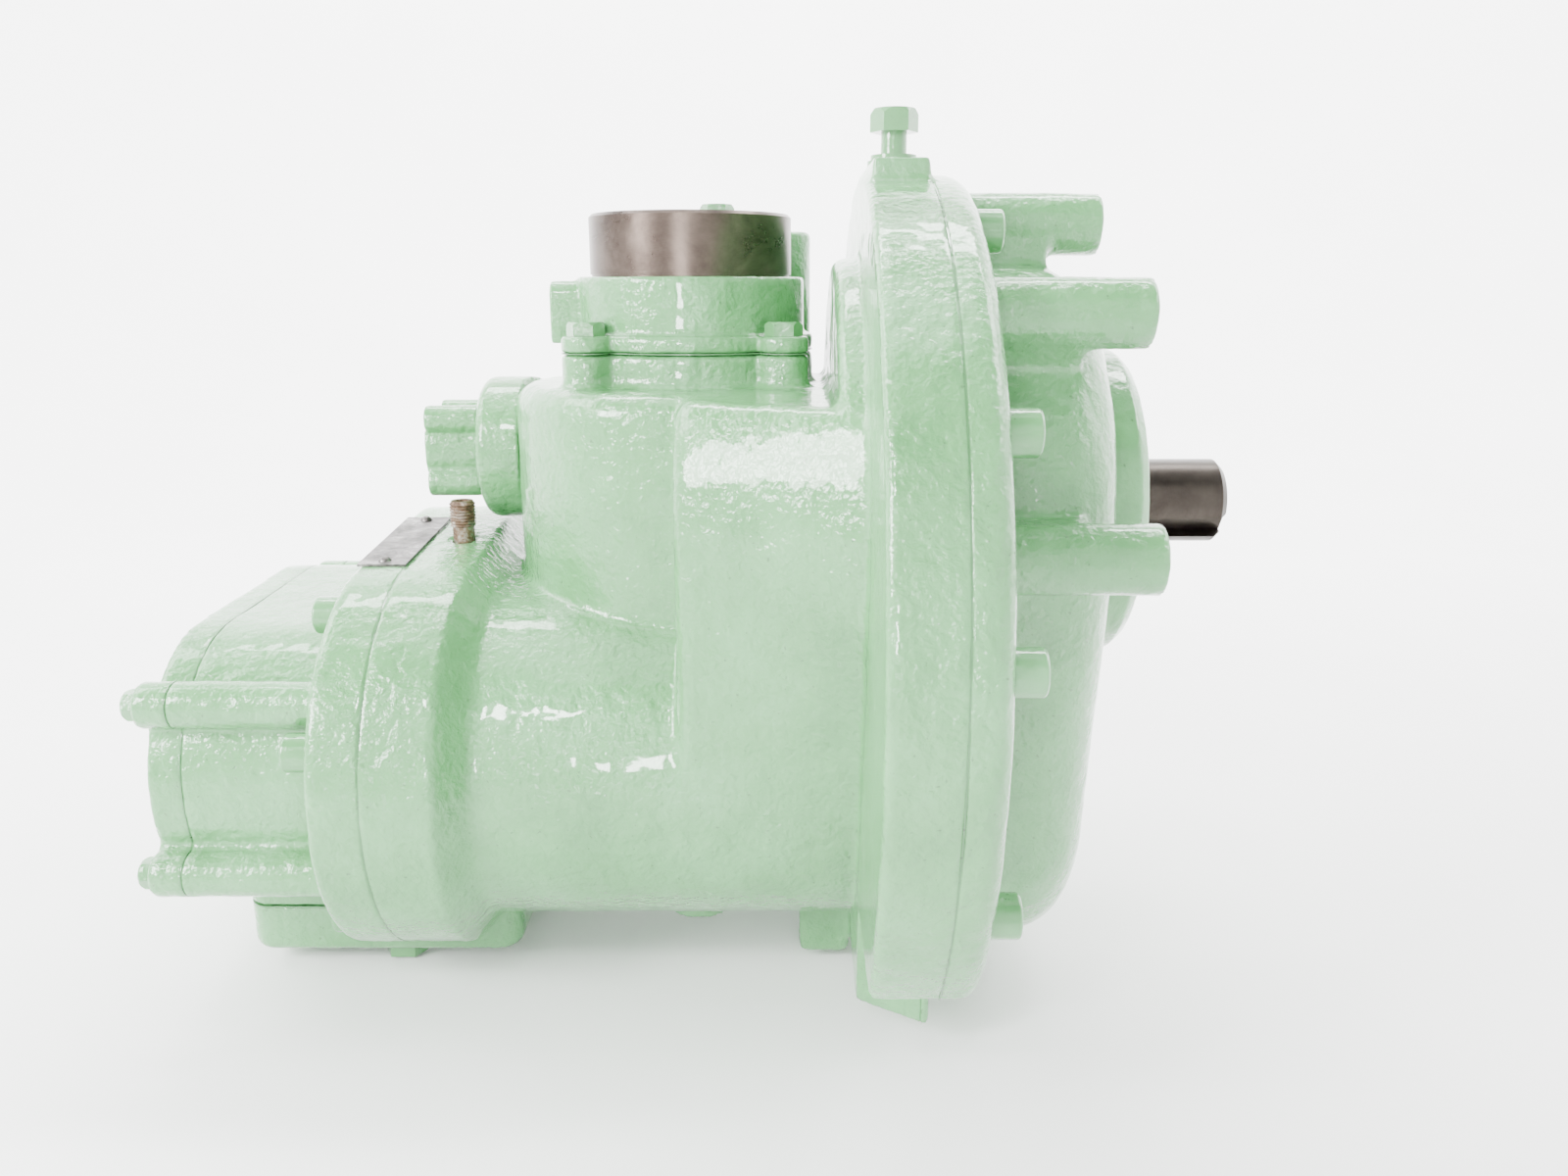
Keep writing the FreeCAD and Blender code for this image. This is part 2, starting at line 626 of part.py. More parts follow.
def valve_cap():
    back = VALVE_BACK_X - 0.05
    shapes = [cyl_x(22.0, VALVE_END_X, back, VALVE_CENTRE)]
    for place in valve_screws():
        shapes.append(cyl_x(7.5, VALVE_END_X + 1, back, place))
    cap = fuse(shapes)
    cap = cap.cut(cyl_x(13.0, VALVE_END_X + 7, back + 1, VALVE_CENTRE))
    for place in valve_screws():
        cap = cap.cut(cyl_x(3.3, VALVE_END_X - 1, back + 1, place))
        cap = cap.cut(cyl_x(5.2, VALVE_END_X - 1, VALVE_END_X + 8, place))
    return cap


def oil_block():
    """Oil filter head cast as an upright boss on a foot, on the far side of the bell."""
    upright = round_level(cyl_z(13.0, 0, OIL_BLOCK_Z, OIL_BLOCK_X, OIL_BLOCK_Y), OIL_BLOCK_Z, 3)
    arm = block(OIL_ARM_X, OIL_BLOCK_X, OIL_BLOCK_Y - 10, OIL_BLOCK_Y + 10, OIL_ARM_Z - 20, OIL_ARM_Z - 8)
    arm_end = cyl_z(12.0, OIL_ARM_Z - 20, OIL_ARM_Z, OIL_ARM_X, OIL_BLOCK_Y)
    foot = block(-172, -117, 108, 150, BRACKET_Z, 14)
    body = fuse([upright, arm, arm_end, foot])
    cuts = [cyl_z(6.0, 60, OIL_BLOCK_Z + 1, OIL_BLOCK_X, OIL_BLOCK_Y),
            cyl_z(5.0, OIL_ARM_Z - 21, OIL_ARM_Z + 1, OIL_ARM_X, OIL_BLOCK_Y),
            cyl_z(NECK_R + 0.3, -60, SHOULDER_Z + 2, INLET_X, INLET_Y), bell_outside()]
    for cut in cuts:
        body = body.cut(cut)
    return body


def oil_block_screw():
    return hex_screw_z(OIL_ARM_Z + 0.05, OIL_ARM_X, OIL_BLOCK_Y, 10, 17, 9, 22)


def oil_block_bracket():
    """Cast shelf on the case that carries the oil block."""
    return block(-172, CASE_BACK_X, 60, 150, BRACKET_Z - 26, BRACKET_Z)


# ---- gaskets ------------------------------------------------------------
def gear_cover_gasket():
    sheet = fuse([disc_plate(CASE_JOINT_X, CASE_JOINT_X + GASKET),
                  low_lobe(CASE_JOINT_X, CASE_JOINT_X + GASKET)])
    cuts = [gear_space(CASE_JOINT_X - 1, CASE_JOINT_X + 2, 98, 76)]
    for place in disc_screws():
        cuts.append(cyl_x(6.6, CASE_JOINT_X - 1, CASE_JOINT_X + 2, place))
    for place in dowel_places():
        cuts.append(cyl_x(5.2, CASE_JOINT_X - 1, CASE_JOINT_X + 2, place))
    return sheet.cut(fuse_plain(cuts))


def discharge_gasket():
    x0 = ROTOR_JOINT_X - GASKET
    sheet = oval(x0, ROTOR_JOINT_X, MALE, FLANGE_R, FEMALE, FLANGE_R)
    cuts = [cyl_x(MALE_TIP_R + 1.5, x0 - 1, x0 + 2, MALE),
            cyl_x(FEMALE_TIP_R + 1.5, x0 - 1, x0 + 2, FEMALE),
            outlet_plate(-240, OUTLET_JOINT_Z + 2, RELIEF)]
    for place in flange_screws():
        cuts.append(cyl_x(6.6, x0 - 1, x0 + 2, place))
    return sheet.cut(fuse_plain(cuts))


def end_cover_gasket():
    x0 = END_JOINT_X - GASKET
    shapes = [oval(x0, END_JOINT_X, MALE, BEARING_BODY_R, FEMALE, BEARING_BODY_FAR_R)]
    for place in rib_places():
        shapes.append(cyl_x(11.0, x0, END_JOINT_X, place))
    sheet = fuse(shapes)
    cuts = [cyl_x(41.0, x0 - 1, x0 + 2, MALE), cyl_x(41.0, x0 - 1, x0 + 2, FEMALE)]
    for place in rib_places():
        cuts.append(cyl_x(4.5, x0 - 1, x0 + 2, place))
    return sheet.cut(fuse_plain(cuts))


def inlet_gasket():
    sheet = lobed_plate(INLET_JOINT_Z, INLET_JOINT_Z + GASKET)
    sheet = sheet.cut(cyl_z(SPIGOT_BORE_R + 0.5, INLET_JOINT_Z - 1, INLET_JOINT_Z + 2,
                            INLET_X, INLET_Y))
    for x, y in inlet_screws():
        sheet = sheet.cut(cyl_z(5.5, INLET_JOINT_Z - 1, INLET_JOINT_Z + 2, x, y))
    return sheet


def outlet_gasket():
    z0 = OUTLET_JOINT_Z - GASKET
    sheet = outlet_plate(z0, OUTLET_JOINT_Z)
    sheet = sheet.cut(cyl_z(OUTLET_BORE_R + 0.5, z0 - 1, z0 + 2, OUTLET_X, OUTLET_Y))
    for x, y in outlet_screws():
        sheet = sheet.cut(cyl_z(5.5, z0 - 1, z0 + 2, x, y))
    return sheet


def bearing_cap_gasket():
    sheet = ring_x(46.0, 72.5, COVER_FACE_X, COVER_FACE_X + GASKET)
    for angle in range(0, 360, 60):
        sheet = sheet.cut(cyl_x(4.5, COVER_FACE_X - 1, COVER_FACE_X + 2, polar(angle, 59)))
    return sheet


# ---- screws, pins and trim ----------------------------------------------
def gear_cover_screws():
    return compound([cap_screw_x(COVER_RIM_X, p, 12, 37, 1) for p in disc_screws()])


def dowel_pins():
    return compound([cyl_x(4.95, -108, COVER_RIM_X - 6, p) for p in dowel_places()])


def discharge_screws():
    return compound([cap_screw_x(FLANGE_BACK_X, p, 12, 42, -1) for p in flange_screws()])


def end_cover_screws():
    solids = []
    for place in rib_places():
        head = hexagon_x(13, END_FACE_X, END_FACE_X - 6, place)
        cone = turned_x([(END_FACE_X, 0), (END_FACE_X, 7.6), (END_FACE_X - 4.5, 7.6),
                         (END_FACE_X - 6, 6.4), (END_FACE_X - 6, 0)], place)
        shank = cyl_x(3.9, END_FACE_X, END_FACE_X + 38, place)
        solids.append(head.common(cone).fuse(shank).removeSplitter())
    return compound(solids)


def inlet_flange_screws():
    solids = []
    for x, y in inlet_screws():
        solids.append(hex_screw_z(ADAPTER_FLANGE_Z, x, y, 10, 16, 6.5, 26))
    return compound(solids)


def bearing_cap_screws():
    return compound([cap_screw_x(CAP_SEAT_X, polar(a, 59), 8, 24, 1) for a in range(0, 360, 60)])


def outlet_flange_screws():
    solids = []
    for x, y in outlet_screws():
        solids.append(hex_screw_z(OUTLET_Z + 11, x, y, 10, 16, 7, 27, up=-1))
    return compound(solids)


def valve_cap_screws():
    return compound([cap_screw_x(VALVE_END_X + 8, p, 6, 34, -1) for p in valve_screws()])


def retainer_screws():
    return compound([cap_screw_x(-111.0, p, 6, 15, 1) for p in retainer_screw_places()])


def bearing_retainer():
    """Plate that holds the outer rings of both suction-end bearings."""
    plate = oval(CASE_BACK_X + 0.05, -111, MALE, 56, FEMALE, 45.5)
    plate = plate.cut(cyl_x(36, -117, -110, MALE)).cut(cyl_x(33, -117, -110, FEMALE))
    for place in retainer_screw_places():
        plate = plate.cut(cyl_x(3.3, -117, -110, place))
    return plate


def lug_screw():
    return hex_screw_z(LUG_Z + 15, LUG_X, 0, 12, 19, 10, 38)


def lug_washers():
    washers = []
    for level, radius in ((LUG_Z, 12.0), (LUG_Z + 2.6, 10.5)):
        washer = cyl_z(radius, level, level + 2.5, LUG_X, 0)
        washers.append(washer.cut(cyl_z(6.5, level - 1, level + 4, LUG_X, 0)))
    return compound(washers)


def threaded_stub():
    """Short pipe nipple for the oil injection line, with ring grooves for its thread."""
    outline = [(3.2, -48), (5.6, -48), (5.6, STUB_TOP_Z - 13.6)]
    for k in range(8):
        base = STUB_TOP_Z - 13.6 + 1.6 * k
        outline += [(6.6, base + 0.5), (6.6, base + 0.9), (5.9, base + 1.5)]
    outline += [(5.6, STUB_TOP_Z), (3.2, STUB_TOP_Z)]
    return turned_z(outline, STUB_X, STUB_Y)


def nameplate():
    plate = Part.makeBox(24, 84, 1.2, Vector(0, 0, 0))
    return place_on_flange(plate)


def place_on_flange(shape):
    """Lay a shape built on the XY plane onto the flat top of the discharge flange."""
    moved = shape.copy()
    moved.rotate(Vector(0, 0, 0), X_AXIS, math.degrees(ROTOR_TILT))
    normal_y = -math.sin(ROTOR_TILT)
    normal_z = math.cos(ROTOR_TILT)
    lift = FLANGE_R + 0.02
    y = MALE_Y + lift * normal_y + 2 * math.cos(ROTOR_TILT)
    z = MALE_Z + lift * normal_z + 2 * math.sin(ROTOR_TILT)
    moved.translate(Vector(FLANGE_BACK_X + 0.5, y, z))
    return moved


def nameplate_rivets():
    rivets = []
    for y in (6.0, 78.0):
        head = Part.makeSphere(3.4, Vector(12, y, 0.2)).common(
            Part.makeBox(10, 10, 5, Vector(7, y - 5, 1.25)))
        rivets.append(place_on_flange(head))
    return compound(rivets)


def drain_plug():
    head = hexagon_z(22, OUTLET_Z - 7, OUTLET_Z - 0.05, DRAIN_X, DRAIN_Y)
    shank = cyl_z(7.9, OUTLET_Z - 0.05, OUTLET_Z + 15, DRAIN_X, DRAIN_Y)
    return head.fuse(shank).removeSplitter()


def side_boss_plug():
    body = cyl_x(5.95, SIDE_BOSS_X + 0.5, SIDE_BOSS_X + 8, SIDE_BOSS)
    return body.cut(hexagon_x(6, SIDE_BOSS_X - 1, SIDE_BOSS_X + 5, SIDE_BOSS))


def scavenge_plug():
    head = cyl_z(13.0, -241, -237.05, -129, 2)
    return head.fuse(cyl_z(8.9, -237.05, -228, -129, 2)).removeSplitter()


# ---- input shaft group --------------------------------------------------
def input_shaft():
    outline = [(-151, 0), (-151, 20.5), (-150, 21.5), (-141, 21.5), (-141, 22.5), (-104, 22.5),
               (-104, 26), (-76, 26), (-76, 30), (-34, 30), (-34, 25), (-12.5, 25), (-12.5, 22.5),
               (9, 22.5), (9, INPUT_SHAFT_R), (SHAFT_END_X - 3, INPUT_SHAFT_R),
               (SHAFT_END_X, INPUT_SHAFT_R - 3), (SHAFT_END_X, 0)]
    shaft = turned_x(outline)
    keyway = block(16, SHAFT_END_X + 1, -KEY_WIDTH / 2, KEY_WIDTH / 2,
                   INPUT_SHAFT_R - KEY_DEPTH - 1, INPUT_SHAFT_R + 5)
    keyway.rotate(Vector(0, 0, 0), X_AXIS, 90 - KEY_ANGLE)
    centre_drill = Part.makeCone(0.5, 4, 7, Vector(SHAFT_END_X - 6.9, 0, 0), X_AXIS)
    seat = block(-104, -78, -7, 7, 21, 30)
    return shaft.cut(keyway).cut(centre_drill).cut(seat)


def bull_gear_key():
    return block(-103.9, -78.1, -6.95, 6.95, 21.05, 29.5)


def gear_outline(x, centre, teeth, turn):
    """Gear outline of straight chords on involute flanks, turned by an angle in radians."""
    pressure = math.radians(20)
    pitch_r = GEAR_MODULE * teeth / 2
    base_r = pitch_r * math.cos(pressure)
    root_r = pitch_r - 1.25 * GEAR_MODULE
    tip_r = pitch_r + GEAR_MODULE - 0.15
    backlash = 0.14 / pitch_r
    half = math.pi / (2 * teeth) + math.tan(pressure) - pressure - backlash
    low_r = max(base_r, root_r) + 0.05
    radii = [low_r, (low_r + pitch_r) / 2, pitch_r, (pitch_r + tip_r) / 2, tip_r]

    def flank(radius):
        roll = math.acos(base_r / radius)
        return half - (math.tan(roll) - roll)

    side = [(root_r, flank(low_r) + 0.1 / teeth)] + [(r, flank(r)) for r in radii]
    points = []
    for k in range(teeth):
        middle = turn + 2 * math.pi * k / teeth
        for radius, angle in side:
            points.append((radius, middle - angle))
        for radius, angle in reversed(side):
            points.append((radius, middle + angle))
    corners = []
    for radius, angle in points:
        corners.append(Vector(x, centre[0] + radius * math.cos(angle),
                              centre[1] + radius * math.sin(angle)))
    return Part.makePolygon(corners + [corners[0]])


GEAR_X0 = -104.0
GEAR_X1 = -76.0
BULL_TWIST = math.radians(5.4)
GEAR_SECTIONS = 3


def helical_gear(centre, teeth, start, twist):
    wires = []
    for k in range(GEAR_SECTIONS):
        part = k / (GEAR_SECTIONS - 1)
        x = GEAR_X0 + part * (GEAR_X1 - GEAR_X0)
        wires.append(gear_outline(x, centre, teeth, start + part * twist))
    return Part.makeLoft(wires, True, True)


def bull_gear():
    gear = helical_gear(SHAFT, BULL_TEETH, -math.pi / 2, BULL_TWIST)
    gear = gear.cut(cyl_x(26.03, GEAR_X0 - 1, GEAR_X1 + 1))
    for x0, x1 in ((GEAR_X0 - 1, GEAR_X0 + 8), (GEAR_X1 - 8, GEAR_X1 + 1)):
        gear = gear.cut(ring_x(42, 70, x0, x1))
    return gear.cut(block(-107, -75, -7, 7, 21, 30))


def pinion():
    start = math.pi / 2 + math.pi / PINION_TEETH
    gear = helical_gear(MALE, PINION_TEETH, start, -BULL_TWIST * BULL_TEETH / PINION_TEETH)
    hub = cyl_x(28, -117.9, GEAR_X0, MALE)
    return gear.fuse(hub).cut(cyl_x(20.03, -119, GEAR_X1 + 1, MALE))


def gear_spacer():
    return ring_x(22.53, 31, -119.9, -104.05)


def lock_nut(centre, bore, outer, x0, x1):
    nut = ring_x(bore + 0.03, outer, x0, x1, centre)
    for k in range(4):
        slot = block(x0 - 1, x1 + 1, -3, 3, outer - 3, outer + 3)
        slot.rotate(Vector(0, 0, 0), X_AXIS, 90 * k)
        slot.translate(Vector(0, centre[0], centre[1]))
        nut = nut.cut(slot)
    return nut


def input_lock_nut():
    return lock_nut(SHAFT, 21.5, 31, -149.5, -141.05)


def pinion_nut():
    return lock_nut(MALE, 18, 27, -75.95, -66)


def male_lock_nut():
    return lock_nut(MALE, 19, 28, -414.5, -405.05)


def female_lock_nuts():
    return compound([lock_nut(FEMALE, 19, 28, -414.5, -405.05),
                     lock_nut(FEMALE, 19, 28, -118.9, -109)])


def input_seal():
    return turned_x([(-1, 30.95), (7, 30.95), (7, 23.2), (5, 23.2), (5, 28), (1.5, 28),
                     (1.5, 22.56), (-1, 22.56)])


# ---- rotors -------------------------------------------------------------
ROTOR_X0 = ROTOR_JOINT_X + ROTOR_END_GAP
ROTOR_X1 = ROTOR_DRIVE_X - ROTOR_END_GAP
ROTOR_SECTIONS = 25


def lobed_wire(x, centre, count, pitch_r, land_r, circle_r, side, turn):
    """Rotor outline: arcs of one circle on the pitch circle, joined by lands.

    side is +1 for lobes that stand out of the land circle, -1 for flutes cut into it.
    """
    reach = math.acos((pitch_r ** 2 + land_r ** 2 - circle_r ** 2) / (2 * pitch_r * land_r))
    step = 2 * math.pi / count

    def at(radius, angle):
        return Vector(x, centre[0] + radius * math.cos(angle), centre[1] + radius * math.sin(angle))

    edges = []
    for k in range(count):
        middle = turn + k * step
        peak_r = pitch_r + side * circle_r
        start = at(land_r, middle - reach)
        end = at(land_r, middle + reach)
        following = at(land_r, middle + step - reach)
        edges.append(Part.Arc(start, at(peak_r, middle), end).toShape())
        edges.append(Part.Arc(end, at(land_r, middle + step / 2), following).toShape())
    return Part.Wire(edges)


def screw_body(centre, count, pitch_r, land_r, circle_r, side, start, wrap):
    wires = []
    for k in range(ROTOR_SECTIONS):
        part = k / (ROTOR_SECTIONS - 1)
        x = ROTOR_X0 + part * (ROTOR_X1 - ROTOR_X0)
        wires.append(lobed_wire(x, centre, count, pitch_r, land_r, circle_r, side, start + part * wrap))
    return Part.makeLoft(wires, True, True)


def male_rotor():
    wrap = math.radians(MALE_WRAP)
    body = screw_body(MALE, MALE_LOBES, MALE_PITCH_R, MALE_ROOT_R, LOBE_R, 1, ROTOR_TILT, wrap)
    journals = [(-420, 0), (-420, 18), (-419, 19), (-405, 19), (-405, 20), (-349.5, 20),
                (-349.5, 21), (ROTOR_X0, 21), (ROTOR_X0, 30), (ROTOR_X1, 30), (ROTOR_X1, 23.5),
                (-137, 23.5), (-137, 22.5), (-118, 22.5), (-118, 20), (-76, 20), (-76, 18),
                (-63, 18), (-62, 17), (-62, 0)]
    return body.fuse(turned_x(journals, MALE))


def female_rotor():
    wrap = -math.radians(MALE_WRAP) * MALE_LOBES / FEMALE_LOBES
    body = screw_body(FEMALE, FEMALE_LOBES, FEMALE_PITCH_R, FEMALE_TIP_R, FLUTE_R, -1,
                      math.pi + ROTOR_TILT, wrap)
    journals = [(-420, 0), (-420, 18), (-419, 19), (-405, 19), (-405, 20), (-349.5, 20),
                (-349.5, 21), (ROTOR_X0, 21), (ROTOR_X0, 30), (ROTOR_X1, 30), (ROTOR_X1, 21),
                (-137, 21), (-137, 20), (-119, 20), (-119, 19), (-109, 19), (-108, 18), (-108, 0)]
    return body.fuse(turned_x(journals, FEMALE))


# ---- bearings -----------------------------------------------------------
# each bearing: axis, (bore, outer, width), left station, rolling elements, kind
INPUT_BEARINGS = ((SHAFT, FRONT_BEARING, -33.0, 12, "ball"), (SHAFT, REAR_BEARING, -140.0, 11, "ball"))
MALE_BEARINGS = ((MALE, MALE_SUCTION, -137.0, 14, "roller"),
                 (MALE, DISCHARGE_BEARING, -367.5, 13, "roller"),
                 (MALE, DISCHARGE_BEARING, -386.0, 11, "ball"),
                 (MALE, DISCHARGE_BEARING, -404.5, 11, "ball"))
FEMALE_BEARINGS = ((FEMALE, FEMALE_SUCTION, -137.0, 13, "roller"),
                   (FEMALE, DISCHARGE_BEARING, -367.5, 13, "roller"),
                   (FEMALE, DISCHARGE_BEARING, -386.0, 11, "ball"),
                   (FEMALE, DISCHARGE_BEARING, -404.5, 11, "ball"))
RING_SHARE = 0.27
BALL_SHARE = 0.28
ROLLER_SHARE = 0.225


def race(bearing, inner):
    centre, (bore, outer, width), x0, count, kind = bearing
    height = outer - bore
    middle = (bore + outer) / 2
    if inner:
        ring = ring_x(bore + FIT / 2, bore + RING_SHARE * height, x0 + 0.05, x0 + width - 0.05, centre)
    else:
        ring = ring_x(outer - RING_SHARE * height, outer - FIT / 2, x0 + 0.05, x0 + width - 0.05, centre)
    if kind == "ball":
        groove = Part.makeTorus(middle, BALL_SHARE * height + 0.12,
                                Vector(x0 + width / 2, centre[0], centre[1]), X_AXIS)
        ring = ring.cut(groove)
    return ring


def rolling_element(bearing, k, growth):
    centre, (bore, outer, width), x0, count, kind = bearing
    height = outer - bore
    y, z = polar(360.0 * k / count, (bore + outer) / 2, centre)
    if kind == "ball":
        return Part.makeSphere(BALL_SHARE * height + growth, Vector(x0 + width / 2, y, z))
    half = 0.28 * width + growth
    return cyl_x(ROLLER_SHARE * height + growth, x0 + width / 2 - half, x0 + width / 2 + half, (y, z))


def cage(bearing):
    centre, (bore, outer, width), x0, count, kind = bearing
    height = outer - bore
    middle = (bore + outer) / 2
    ring = ring_x(middle - 0.1 * height, middle + 0.1 * height, x0 + 0.1 * width, x0 + 0.9 * width, centre)
    pockets = [rolling_element(bearing, k, 0.25) for k in range(count)]
    return ring.cut(fuse_plain(pockets))


def outer_rings(bearings):
    return compound([race(b, False) for b in bearings])


def inner_rings(bearings):
    return compound([race(b, True) for b in bearings])


def rolling_elements(bearings):
    return compound([rolling_element(b, k, 0.0) for b in bearings for k in range(b[3])])


def cages(bearings):
    return compound([cage(b) for b in bearings])


# ---- all nodes ----------------------------------------------------------
def build_nodes():
    makers = [
        main_housing, gear_cover, discharge_housing, end_cover, inlet_adapter, inlet_spigot,
        input_bearing_cap, outlet_flange, valve_housing, valve_cap, oil_block,
        gear_cover_gasket, discharge_gasket, end_cover_gasket, inlet_gasket, outlet_gasket,
        bearing_cap_gasket, gear_cover_screws, dowel_pins, discharge_screws, end_cover_screws,
        inlet_flange_screws, bearing_cap_screws, outlet_flange_screws, valve_cap_screws,
        retainer_screws, bearing_retainer, lug_screw, lug_washers, threaded_stub, nameplate,
        nameplate_rivets, drain_plug, side_boss_plug, scavenge_plug, oil_block_screw,
        input_shaft, bull_gear, bull_gear_key, gear_spacer, input_lock_nut, input_seal,
        pinion, pinion_nut, male_rotor, male_lock_nut, female_rotor, female_lock_nuts,
    ]
    nodes = {maker.__name__: maker for maker in makers}
    groups = (("input", INPUT_BEARINGS), ("male", MALE_BEARINGS), ("female", FEMALE_BEARINGS))
    for name, bearings in groups:
        nodes[name + "_bearing_outers"] = lambda b=bearings: outer_rings(b)
        nodes[name + "_bearing_inners"] = lambda b=bearings: inner_rings(b)
        nodes[name + "_bearing_rollers"] = lambda b=bearings: rolling_elements(b)
        nodes[name + "_bearing_cages"] = lambda b=bearings: cages(b)
    return nodes


def main():
    os.makedirs("parts", exist_ok=True)
    for name, maker in build_nodes().items():
        shape = maker()
        volume = round(shape.Volume / 1000, 2)
        print(name, "valid", shape.isValid(), "solids", len(shape.Solids), "cm3", volume)
        shape.exportStep("parts/" + name + ".step")


main()
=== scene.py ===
"""Looks of the screw air end: gloss mint paint over cast iron, bare steel shaft and inlet spigot."""

import json
import math

import bmesh
import bpy
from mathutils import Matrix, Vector


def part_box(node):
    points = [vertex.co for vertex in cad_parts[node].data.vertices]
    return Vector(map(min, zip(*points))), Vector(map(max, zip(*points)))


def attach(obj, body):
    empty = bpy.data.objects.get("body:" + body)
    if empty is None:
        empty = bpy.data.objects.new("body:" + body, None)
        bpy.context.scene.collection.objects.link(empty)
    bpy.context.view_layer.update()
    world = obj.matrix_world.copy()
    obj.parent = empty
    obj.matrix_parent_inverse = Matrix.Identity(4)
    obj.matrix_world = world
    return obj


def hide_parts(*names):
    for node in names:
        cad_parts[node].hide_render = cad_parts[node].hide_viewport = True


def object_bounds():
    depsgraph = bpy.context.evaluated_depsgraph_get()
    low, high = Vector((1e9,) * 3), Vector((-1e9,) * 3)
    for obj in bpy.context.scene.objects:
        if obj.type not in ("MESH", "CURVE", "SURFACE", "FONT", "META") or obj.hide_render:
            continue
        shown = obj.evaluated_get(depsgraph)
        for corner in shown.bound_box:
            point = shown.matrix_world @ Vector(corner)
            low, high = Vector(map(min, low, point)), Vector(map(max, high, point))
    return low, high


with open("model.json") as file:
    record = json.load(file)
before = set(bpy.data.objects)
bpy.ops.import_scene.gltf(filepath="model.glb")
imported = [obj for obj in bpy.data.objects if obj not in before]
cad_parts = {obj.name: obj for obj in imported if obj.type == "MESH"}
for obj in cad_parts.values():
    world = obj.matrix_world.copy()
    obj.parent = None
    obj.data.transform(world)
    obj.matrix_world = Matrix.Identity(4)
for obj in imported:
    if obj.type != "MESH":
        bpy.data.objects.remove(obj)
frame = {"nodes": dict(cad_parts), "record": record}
CAD_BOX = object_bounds()
NODES = frame["nodes"]
HOUSING = "housing"
MM = 0.001

# ---- places taken from the frame, in metres -----------------------------
HOUSING_BACK_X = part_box("main_housing")[0].x
CASE_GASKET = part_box("gear_cover_gasket")
ROTOR_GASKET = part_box("discharge_gasket")
END_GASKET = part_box("end_cover_gasket")
MALE_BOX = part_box("male_rotor")
FEMALE_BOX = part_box("female_rotor")
SPIGOT_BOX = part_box("inlet_spigot")


def middle_of(box):
    return (Vector(box[0]) + Vector(box[1])) / 2


SHAFT_AXIS = Vector((0, 0, 0))
MALE_AXIS = middle_of(MALE_BOX)
FEMALE_AXIS = middle_of(FEMALE_BOX)
INLET_AXIS = middle_of(SPIGOT_BOX)

# ---- hollows of the castings: radii, and spans along X ------------------
BORE_MARGIN = 1.6 * MM
MALE_BORE = (MALE_BOX[1][2] - MALE_BOX[0][2]) / 2 + BORE_MARGIN
FEMALE_BORE = (FEMALE_BOX[1][2] - FEMALE_BOX[0][2]) / 2 + BORE_MARGIN
INLET_BORE = (SPIGOT_BOX[1][0] - SPIGOT_BOX[0][0]) / 2 - 3 * MM
BEARING_POCKET_R = 42 * MM
REAR_POCKET_R = 44 * MM
FRONT_POCKET_R = 46.5 * MM
BULL_SPACE_R = 99.5 * MM
PINION_SPACE_R = 77.5 * MM
GEAR_SPACE_HALF_WIDTH = 98 * MM
GEAR_SPACE_TAPER = 0.16
ROTOR_BORE_SPAN = (HOUSING_BACK_X - 92 * MM, -150 * MM)
BEARING_POCKET_SPAN = (END_GASKET[0].x - 10 * MM, HOUSING_BACK_X)
REAR_POCKET_SPAN = (-152.5 * MM, -110 * MM)
GEAR_SPACE_SPAN = (-117 * MM, -24 * MM)
FRONT_POCKET_X = -40 * MM

# ---- casting skins ------------------------------------------------------
BODY_NODES = ("main_housing", "gear_cover_gasket", "gear_cover", "discharge_gasket", "discharge_housing",
              "end_cover_gasket", "end_cover")
BODY_VOXEL = 1.9 * MM
BODY_SMOOTHING = 4
BODY_LUMPS = ((30 * MM, 0.8 * MM), (7 * MM, 0.45 * MM))     # lump size, height
SMALL_VOXEL = 1.1 * MM
SMALL_LUMPS = ((12 * MM, 0.4 * MM),)
SMALL_CASTINGS = (                                          # node, smoothing steps, look
    ("inlet_adapter", 4, "paint"),
    ("outlet_flange", 4, "paint"),
    ("valve_housing", 5, "paint"),
    ("valve_cap", 4, "paint"),
    ("oil_block", 5, "paint"),
    ("input_bearing_cap", 3, "paint_smooth"),
)
WELD_DISTANCE = 0.01 * MM
CUT_TOLERANCE = 0.001 * MM
GROOVE_DEPTH = 0.35 * MM
GROOVE_MIN_SLOPE = 0.2

# ---- paint --------------------------------------------------------------
PAINT = (0.098, 0.300, 0.108)
PAINT_PALE = (0.130, 0.350, 0.145)
PAINT_DEEP = (0.075, 0.250, 0.084)
GRIME = (0.075, 0.100, 0.070)
SPECK = (0.04, 0.045, 0.035)
PAINT_IOR = 1.54
COAT_WEIGHT = 0.6
COAT_ROUGHNESS = 0.05
# noise scales, in waves per metre
TONE_SCALE = 14.0
SHEEN_SCALE = 30.0
GRIME_SCALE = 46.0
SPECK_SCALE = 420.0
SWELL_SCALE = 42.0
BRUSH_SCALE = 120.0
PEEL_SCALE = 330.0

